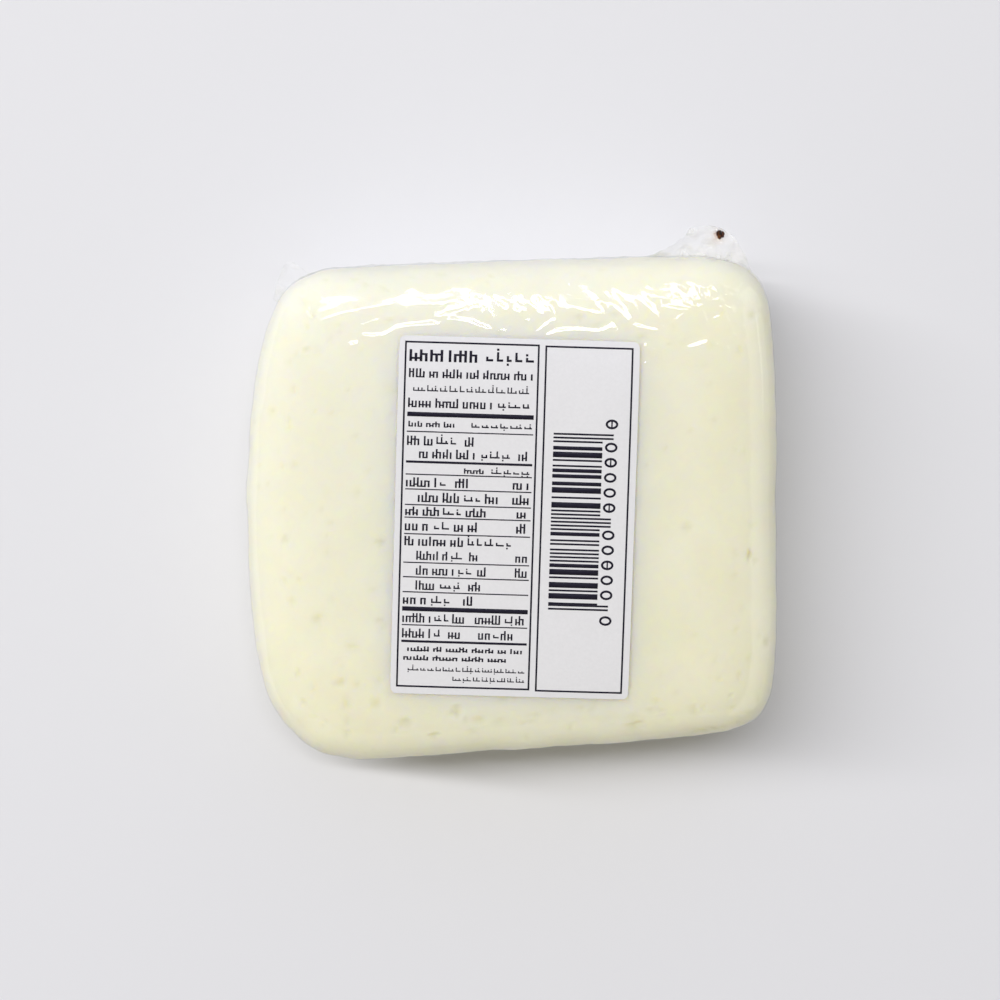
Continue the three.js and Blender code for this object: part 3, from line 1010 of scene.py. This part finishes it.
floor_mesh = bmesh.new()
bmesh.ops.create_grid(floor_mesh, x_segments=1, y_segments=1, size=FLOOR_SIZE / 2)
bmesh.ops.translate(floor_mesh, vec=(0, 0, low[2] - FLOOR_DROP), verts=floor_mesh.verts[:])
floor_data = bpy.data.meshes.new("floor")
floor_mesh.to_mesh(floor_data)
floor_mesh.free()
floor = bpy.data.objects.new("floor", floor_data)
bpy.context.collection.objects.link(floor)
floor_data.materials.append(floor_look)


def area_light(name, direction, distance, size, radiance, colour):
    """A flat light, given by how bright its face is, that looks at the block from a direction."""
    data = bpy.data.lights.new(name, "AREA")
    data.shape = "RECTANGLE"
    data.size, data.size_y = size
    data.energy = radiance * math.pi * size[0] * size[1]
    data.color = colour
    lamp = bpy.data.objects.new(name, data)
    bpy.context.collection.objects.link(lamp)
    towards = Vector(direction).normalized()
    across = Vector((0, 1, 0)).cross(towards).normalized()
    turned = Matrix((across, towards.cross(across), towards)).transposed().to_4x4()
    lamp.matrix_world = Matrix.Translation(BLOCK_MIDDLE + towards * distance) @ turned
    return lamp


# The strip lights the scene and isn't mirrored, and the rest are only mirrored: by name, which way it
# is, how far, its size, and how bright its face is
WINDOW_ANGLE = math.radians(46)
WINDOW_AT = (-0.08, math.sin(WINDOW_ANGLE), math.cos(WINDOW_ANGLE))
strip = area_light("strip", (-0.46, 0.33, 1.0), 2.4, (3.5, 0.16), 33.4, (1.0, 0.99, 0.98))
strip.visible_glossy = False
MIRRORED = {
    "window": (WINDOW_AT, 1.0, (0.8, 0.12), 13.0),
    "back_wall": ((0, 1.0, 0.25), 1.3, (3.0, 1.2), 0.3),
    "left_wall": ((-1.0, 0, 0.45), 1.3, (1.4, 3.0), 0.1),
    "right_wall": ((1.0, 0, 0.4), 1.3, (1.4, 3.0), 0.8),
    "front_wall": ((0, -1.0, 0.4), 1.3, (3.0, 1.4), 0.4),
    "right_strip": ((0.9, 0.25, 0.42), 1.0, (0.06, 0.4), 1.5),
}
for name, (direction, distance, size, radiance) in MIRRORED.items():
    area_light(name, direction, distance, size, radiance, (1, 1, 1)).visible_diffuse = False

# The room is brighter and bluer behind the block, towards its window, and dim and yellow in front of it
ROOM = [(0.25, (0.27, 0.25, 0.165, 1)), (0.5, (0.35, 0.35, 0.36, 1)), (1.0, (0.50, 0.53, 0.65, 1))]
room = bpy.data.worlds.new("pale_room")
room.use_nodes = True
nodes, link = room.node_tree.nodes, room.node_tree.links.new
where = nodes.new("ShaderNodeTexCoord")
axes = nodes.new("ShaderNodeSeparateXYZ")
depth = nodes.new("ShaderNodeMapRange")
depth.inputs["From Min"].default_value = -1
shaded = nodes.new("ShaderNodeValToRGB")
shaded.color_ramp.elements.new(ROOM[1][0])
for stop, (position, colour) in zip(shaded.color_ramp.elements, ROOM):
    stop.position, stop.color = position, colour
link(where.outputs["Generated"], axes.inputs[0])
link(axes.outputs["Y"], depth.inputs["Value"])
link(depth.outputs["Result"], shaded.inputs["Fac"])
link(shaded.outputs["Color"], nodes["Background"].inputs["Color"])
bpy.context.scene.world = room
bpy.context.scene.view_settings.view_transform = "Standard"

# The camera
# It looks straight down, tilted by a few degrees, so that the label's back end is the nearer one, and it
# aims just left of the block's middle and behind it. Its tilt is past straight down when over 90.
ELEVATION = math.radians(94)
DISTANCE = 0.430
FRAME_WIDTH = 0.2216
SENSOR = 36.0
AIM_OFF = Vector((-2.27, 0.76, HALF_HEIGHT - SETTLED / 2)) * MM

camera_data = bpy.data.cameras.new("camera")
camera_data.sensor_width = SENSOR
camera_data.lens = SENSOR * DISTANCE / FRAME_WIDTH
camera_data.clip_start = 0.01
camera = bpy.data.objects.new("camera", camera_data)
bpy.context.collection.objects.link(camera)
view_from = Vector((0, -math.cos(ELEVATION), math.sin(ELEVATION)))
camera.location = BLOCK_MIDDLE + AIM_OFF + view_from * DISTANCE
camera.rotation_euler = (math.pi / 2 - ELEVATION, 0, 0)
bpy.context.scene.camera = camera
